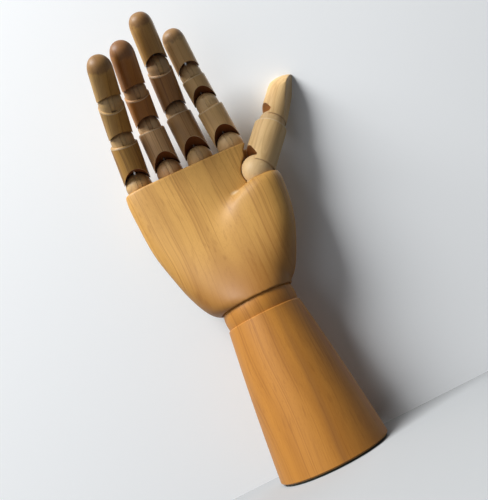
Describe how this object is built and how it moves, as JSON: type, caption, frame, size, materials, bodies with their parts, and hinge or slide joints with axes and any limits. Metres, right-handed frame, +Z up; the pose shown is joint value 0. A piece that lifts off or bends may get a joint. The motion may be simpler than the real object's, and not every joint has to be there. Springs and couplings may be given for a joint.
{
  "type": "wooden hand mannequin",
  "caption": "Wooden artist's right hand on a turned forearm stand, with jointed fingers and thumb that hold a pose for drawing.",
  "frame": {"origin": "centre of the felt's underside, where the stand rests", "axes": "+Z up along the forearm, palm towards -Y, thumb towards +X"},
  "size_m": [0.1264, 0.1022, 0.2559],
  "materials": {
    "forearm_wood": "satin lacquer",
    "palm_wood": "satin lacquer",
    "index_wood": "satin lacquer",
    "middle_wood": "satin lacquer",
    "ring_wood": "satin lacquer",
    "pinky_wood": "satin lacquer",
    "thumb_wood": "satin lacquer",
    "steel": "plain wire",
    "felt": "matte"
  },
  "bodies": {
    "forearm": {"forearm": "forearm_wood", "base_felt": "felt", "wrist_pin": "steel"},
    "wrist_eye": {"wrist_eye": "steel"},
    "palm": {"palm": "palm_wood"},
    "index_knuckle": {"index_knuckle": "index_wood", "index_knuckle_pin": "steel"},
    "index_proximal": {"index_proximal": "index_wood", "index_proximal_tongue": "index_wood", "index_proximal_pin": "steel"},
    "index_middle": {"index_middle": "index_wood", "index_middle_tongue": "index_wood", "index_middle_pin": "steel"},
    "index_distal": {"index_distal": "index_wood", "index_distal_tongue": "index_wood"},
    "middle_knuckle": {"middle_knuckle": "middle_wood", "middle_knuckle_pin": "steel"},
    "middle_proximal": {"middle_proximal": "middle_wood", "middle_proximal_tongue": "middle_wood", "middle_proximal_pin": "steel"},
    "middle_middle": {"middle_middle": "middle_wood", "middle_middle_tongue": "middle_wood", "middle_middle_pin": "steel"},
    "middle_distal": {"middle_distal": "middle_wood", "middle_distal_tongue": "middle_wood"},
    "ring_knuckle": {"ring_knuckle": "ring_wood", "ring_knuckle_pin": "steel"},
    "ring_proximal": {"ring_proximal": "ring_wood", "ring_proximal_tongue": "ring_wood", "ring_proximal_pin": "steel"},
    "ring_middle": {"ring_middle": "ring_wood", "ring_middle_tongue": "ring_wood", "ring_middle_pin": "steel"},
    "ring_distal": {"ring_distal": "ring_wood", "ring_distal_tongue": "ring_wood"},
    "pinky_knuckle": {"pinky_knuckle": "pinky_wood", "pinky_knuckle_pin": "steel"},
    "pinky_proximal": {"pinky_proximal": "pinky_wood", "pinky_proximal_tongue": "pinky_wood", "pinky_proximal_pin": "steel"},
    "pinky_middle": {"pinky_middle": "pinky_wood", "pinky_middle_tongue": "pinky_wood", "pinky_middle_pin": "steel"},
    "pinky_distal": {"pinky_distal": "pinky_wood", "pinky_distal_tongue": "pinky_wood"},
    "thumb_knuckle": {"thumb_knuckle": "thumb_wood", "thumb_knuckle_pin": "steel"},
    "thumb_proximal": {"thumb_proximal": "thumb_wood", "thumb_proximal_tongue": "thumb_wood", "thumb_proximal_pin": "steel"},
    "thumb_distal": {"thumb_distal": "thumb_wood", "thumb_distal_tongue": "thumb_wood"}
  },
  "joints": [
    {"name": "wrist_tilt", "type": "hinge", "parent": "forearm", "child": "wrist_eye", "pos_m": [0, 0, 0.09], "axis": [1, 0, 0], "range_deg": [-20, 20]},
    {"name": "wrist_swivel", "type": "hinge", "parent": "wrist_eye", "child": "palm", "pos_m": [0, 0, 0.09], "axis": [0, 0, 1], "range_deg": [-90, 90]},
    {"name": "index_swivel", "type": "hinge", "parent": "palm", "child": "index_knuckle", "pos_m": [0.02685, 0, 0.18447], "axis": [-0.0628, 0, 0.998], "range_deg": [-3, 10]},
    {"name": "index_knuckle_bend", "type": "hinge", "parent": "index_knuckle", "child": "index_proximal", "pos_m": [0.02685, 0, 0.18447], "axis": [0.998, 0.0052, 0.0628], "range_deg": [-22.5, 52.5]},
    {"name": "index_middle_bend", "type": "hinge", "parent": "index_proximal", "child": "index_middle", "pos_m": [0.02526, -0.00818, 0.21037], "axis": [0.998, 0.0052, 0.0628], "range_deg": [-5, 80]},
    {"name": "index_tip_bend", "type": "hinge", "parent": "index_middle", "child": "index_distal", "pos_m": [0.0241, -0.01416, 0.22931], "axis": [0.998, 0.0052, 0.0628], "range_deg": [-35, 15]},
    {"name": "middle_swivel", "type": "hinge", "parent": "palm", "child": "middle_knuckle", "pos_m": [0.00725, 0, 0.18516], "axis": [-0.0192, 0, 0.9998], "range_deg": [-6, 2]},
    {"name": "middle_knuckle_bend", "type": "hinge", "parent": "middle_knuckle", "child": "middle_proximal", "pos_m": [0.00725, 0, 0.18516], "axis": [0.9965, 0.0819, 0.0191], "range_deg": [-14.7, 60.3]},
    {"name": "middle_middle_bend", "type": "hinge", "parent": "middle_proximal", "child": "middle_middle", "pos_m": [0.00709, -0.00529, 0.21621], "axis": [0.9965, 0.0819, 0.0191], "range_deg": [-47.6, 37.4]},
    {"name": "middle_tip_bend", "type": "hinge", "parent": "middle_middle", "child": "middle_distal", "pos_m": [0.0087, -0.02926, 0.23483], "axis": [0.9965, 0.0819, 0.0191], "range_deg": [-6.8, 58.2]},
    {"name": "ring_swivel", "type": "hinge", "parent": "palm", "child": "ring_knuckle", "pos_m": [-0.01235, 0, 0.18584], "axis": [-0.007, 0, 1], "range_deg": [-3, 5]},
    {"name": "ring_knuckle_bend", "type": "hinge", "parent": "ring_knuckle", "child": "ring_proximal", "pos_m": [-0.01235, 0, 0.18584], "axis": [0.9921, 0.1253, 0.0069], "range_deg": [-25.2, 49.8]},
    {"name": "ring_middle_bend", "type": "hinge", "parent": "ring_proximal", "child": "ring_middle", "pos_m": [-0.01128, -0.01, 0.21325], "axis": [0.9921, 0.1253, 0.0069], "range_deg": [-39.3, 45.7]},
    {"name": "ring_tip_bend", "type": "hinge", "parent": "ring_middle", "child": "ring_distal", "pos_m": [-0.00889, -0.02971, 0.22744], "axis": [0.9921, 0.1253, 0.0069], "range_deg": [-23.7, 41.3]},
    {"name": "pinky_swivel", "type": "hinge", "parent": "palm", "child": "pinky_knuckle", "pos_m": [-0.03234, 0, 0.18654], "axis": [0.0419, 0, 0.9991], "range_deg": [-10, 2]},
    {"name": "pinky_knuckle_bend", "type": "hinge", "parent": "pinky_knuckle", "child": "pinky_proximal", "pos_m": [-0.03234, 0, 0.18654], "axis": [0.9827, 0.1805, -0.0412], "range_deg": [-40.9, 34.1]},
    {"name": "pinky_middle_bend", "type": "hinge", "parent": "pinky_proximal", "child": "pinky_middle", "pos_m": [-0.02822, -0.01701, 0.21028], "axis": [0.9827, 0.1805, -0.0412], "range_deg": [-34, 51]},
    {"name": "pinky_tip_bend", "type": "hinge", "parent": "pinky_middle", "child": "pinky_distal", "pos_m": [-0.02326, -0.04142, 0.22171], "axis": [0.9827, 0.1805, -0.0412], "range_deg": [-13.8, 51.2]},
    {"name": "thumb_swivel", "type": "hinge", "parent": "palm", "child": "thumb_knuckle", "pos_m": [0.0332, -0.007, 0.1606], "axis": [-0.6392, -0.225, -0.7354], "range_deg": [-60, 30]},
    {"name": "thumb_knuckle_bend", "type": "hinge", "parent": "thumb_knuckle", "child": "thumb_proximal", "pos_m": [0.0332, -0.007, 0.1606], "axis": [-0.3258, 0.9454, -0.006], "range_deg": [-3.5, 5.5]},
    {"name": "thumb_tip_bend", "type": "hinge", "parent": "thumb_proximal", "child": "thumb_distal", "pos_m": [0.05461, 0.00054, 0.18524], "axis": [-0.3258, 0.9454, -0.006], "range_deg": [-45, 5]}
  ]
}
